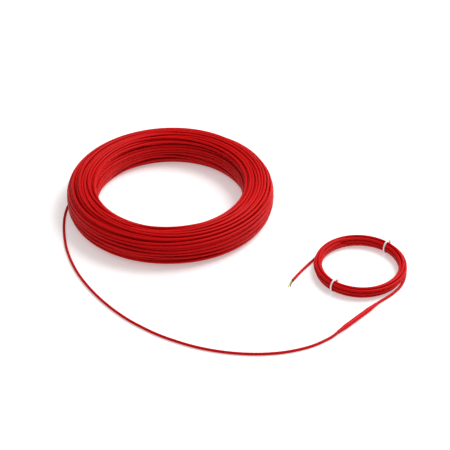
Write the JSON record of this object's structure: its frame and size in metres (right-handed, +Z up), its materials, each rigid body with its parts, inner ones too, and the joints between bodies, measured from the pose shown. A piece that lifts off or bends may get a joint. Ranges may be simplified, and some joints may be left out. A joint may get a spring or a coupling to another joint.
{
  "type": "underfloor heating cable",
  "caption": "Underfloor heating cable wound in a flat-lying coil, with a shrunk splice and its cold lead gathered in a small tied coil with a stripped end.",
  "frame": {"origin": "on the axis of the big coil, at floor level", "axes": "+Z up along the big coil's axis, +X towards the small coil, +Y away from the free stretch of cable that runs round the front"},
  "size_m": [0.5823, 0.5775, 0.0587],
  "materials": {
    "sheath_red": "smooth extruded sheath, satin",
    "splice_red": "shrunk sleeve, satin",
    "core_brown": "smooth core insulation",
    "core_green_yellow": "smooth core insulation",
    "tie_white": "moulded nylon"
  },
  "bodies": {
    "root": {"heating_cable_coil": "sheath_red", "heating_cable_lead": "sheath_red", "splice_sleeve": "splice_red", "cold_lead": "sheath_red", "cold_lead_coil": "sheath_red", "cold_lead_tail": "sheath_red", "core_brown": "core_brown", "core_green_yellow": "core_green_yellow", "cable_tie_front": "tie_white", "cable_tie_back": "tie_white"}
  },
  "joints": []
}
